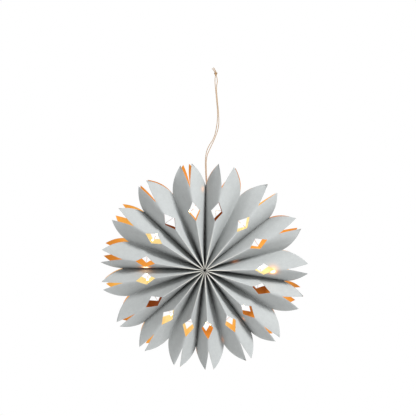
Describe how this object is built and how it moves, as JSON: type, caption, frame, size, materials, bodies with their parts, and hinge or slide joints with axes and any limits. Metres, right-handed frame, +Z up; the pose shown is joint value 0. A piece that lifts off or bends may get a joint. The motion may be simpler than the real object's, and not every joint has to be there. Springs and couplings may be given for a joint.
{
  "type": "paper snowflake star",
  "caption": "Hanging paper star made of gusseted bags joined in a ring, with pointed petals, diamond windows, a light string inside and a twine hanger.",
  "frame": {"origin": "top of the eye in the twine, where it goes over a nail or hook", "axes": "+Z up, the star's front faces -Y, +X to its right; the fan folds about the line through the hub along Y"},
  "size_m": [0.4148, 0.1234, 0.6039],
  "materials": {
    "grey_paper": "uncoated matt, light grey",
    "adhesive": "thin dull strip",
    "light_string": "clear resin lamps on fine wire",
    "jute_twine": "natural, slightly hairy",
    "glue": "cured, cloudy",
    "foam": "soft closed foam",
    "case_plastic": "fine matt",
    "brass_contacts": "plain",
    "cell_steel": "satin",
    "circuit_board": "satin solder mask",
    "switch_steel": "plain",
    "black_plastic": "satin"
  },
  "bodies": {
    "hanger": {"seam_adhesive_1": "adhesive", "twine_left": "jute_twine", "twine_right": "jute_twine", "twine_tails": "jute_twine", "twine_knot": "jute_twine", "twine_glue": "glue"},
    "bag_1": {"paper_bag_1": "grey_paper", "light_string_1": "light_string", "foam_pad": "foam", "battery_case": "case_plastic", "contact_plate": "brass_contacts", "coin_cell_lower": "cell_steel", "coin_cell_upper": "cell_steel", "circuit_board": "circuit_board", "contact_clip": "brass_contacts", "switch_body": "switch_steel"},
    "bag_2": {"paper_bag_2": "grey_paper", "seam_adhesive_2": "adhesive", "light_string_2": "light_string"},
    "bag_3": {"paper_bag_3": "grey_paper", "seam_adhesive_3": "adhesive", "light_string_3": "light_string"},
    "bag_4": {"paper_bag_4": "grey_paper", "seam_adhesive_4": "adhesive", "light_string_4": "light_string"},
    "bag_5": {"paper_bag_5": "grey_paper", "seam_adhesive_5": "adhesive", "light_string_5": "light_string"},
    "bag_6": {"paper_bag_6": "grey_paper", "seam_adhesive_6": "adhesive", "light_string_6": "light_string"},
    "bag_7": {"paper_bag_7": "grey_paper", "seam_adhesive_7": "adhesive", "light_string_7": "light_string"},
    "bag_8": {"paper_bag_8": "grey_paper", "seam_adhesive_8": "adhesive", "light_string_8": "light_string"},
    "cover": {"battery_cover": "case_plastic"},
    "switch": {"switch_knob": "black_plastic"}
  },
  "joints": [
    {"name": "fan_fold", "type": "hinge", "parent": "hanger", "child": "bag_8", "pos_m": [-0.0235, 0, -0.377], "axis": [0, -1, 0], "range_deg": [0, 318.2], "deforming": ["paper_bag_8", "seam_adhesive_8", "light_string_8"]},
    {"name": "fan_follow_7", "type": "hinge", "parent": "hanger", "child": "bag_7", "pos_m": [-0.0235, 0, -0.377], "axis": [0, -1, 0], "range_deg": [0, 273.2], "deforming": ["paper_bag_7", "seam_adhesive_7", "light_string_7"]},
    {"name": "fan_follow_6", "type": "hinge", "parent": "hanger", "child": "bag_6", "pos_m": [-0.0235, 0, -0.377], "axis": [0, -1, 0], "range_deg": [0, 235.8], "deforming": ["paper_bag_6", "seam_adhesive_6", "light_string_6"]},
    {"name": "fan_follow_5", "type": "hinge", "parent": "hanger", "child": "bag_5", "pos_m": [-0.0235, 0, -0.377], "axis": [0, -1, 0], "range_deg": [0, 195.2], "deforming": ["paper_bag_5", "seam_adhesive_5", "light_string_5"]},
    {"name": "fan_follow_4", "type": "hinge", "parent": "hanger", "child": "bag_4", "pos_m": [-0.0235, 0, -0.377], "axis": [0, -1, 0], "range_deg": [0, 156.2], "deforming": ["paper_bag_4", "seam_adhesive_4", "light_string_4"]},
    {"name": "fan_follow_3", "type": "hinge", "parent": "hanger", "child": "bag_3", "pos_m": [-0.0235, 0, -0.377], "axis": [0, -1, 0], "range_deg": [0, 114], "deforming": ["paper_bag_3", "seam_adhesive_3", "light_string_3"]},
    {"name": "fan_follow_2", "type": "hinge", "parent": "hanger", "child": "bag_2", "pos_m": [-0.0235, 0, -0.377], "axis": [0, -1, 0], "range_deg": [0, 72.2], "deforming": ["paper_bag_2", "seam_adhesive_2", "light_string_2"]},
    {"name": "fan_follow_1", "type": "hinge", "parent": "hanger", "child": "bag_1", "pos_m": [-0.0235, 0, -0.377], "axis": [0, -1, 0], "range_deg": [0, 23.7], "deforming": ["paper_bag_1", "light_string_1"]},
    {"name": "cover_slide", "type": "slide", "parent": "bag_1", "child": "cover", "axis": [0.4368, 0, 0.8996], "range_m": [0, 0.034]},
    {"name": "switch_slide", "type": "slide", "parent": "bag_1", "child": "switch", "axis": [0.4368, 0, 0.8996], "range_m": [0, 0.0024]}
  ],
  "couplings": [
    {"joint": "fan_follow_1", "follows": "fan_fold", "ratio": 0.074481},
    {"joint": "fan_follow_2", "follows": "fan_fold", "ratio": 0.2269},
    {"joint": "fan_follow_3", "follows": "fan_fold", "ratio": 0.35827},
    {"joint": "fan_follow_4", "follows": "fan_fold", "ratio": 0.49089},
    {"joint": "fan_follow_5", "follows": "fan_fold", "ratio": 0.61345},
    {"joint": "fan_follow_6", "follows": "fan_fold", "ratio": 0.74104},
    {"joint": "fan_follow_7", "follows": "fan_fold", "ratio": 0.85858}
  ]
}
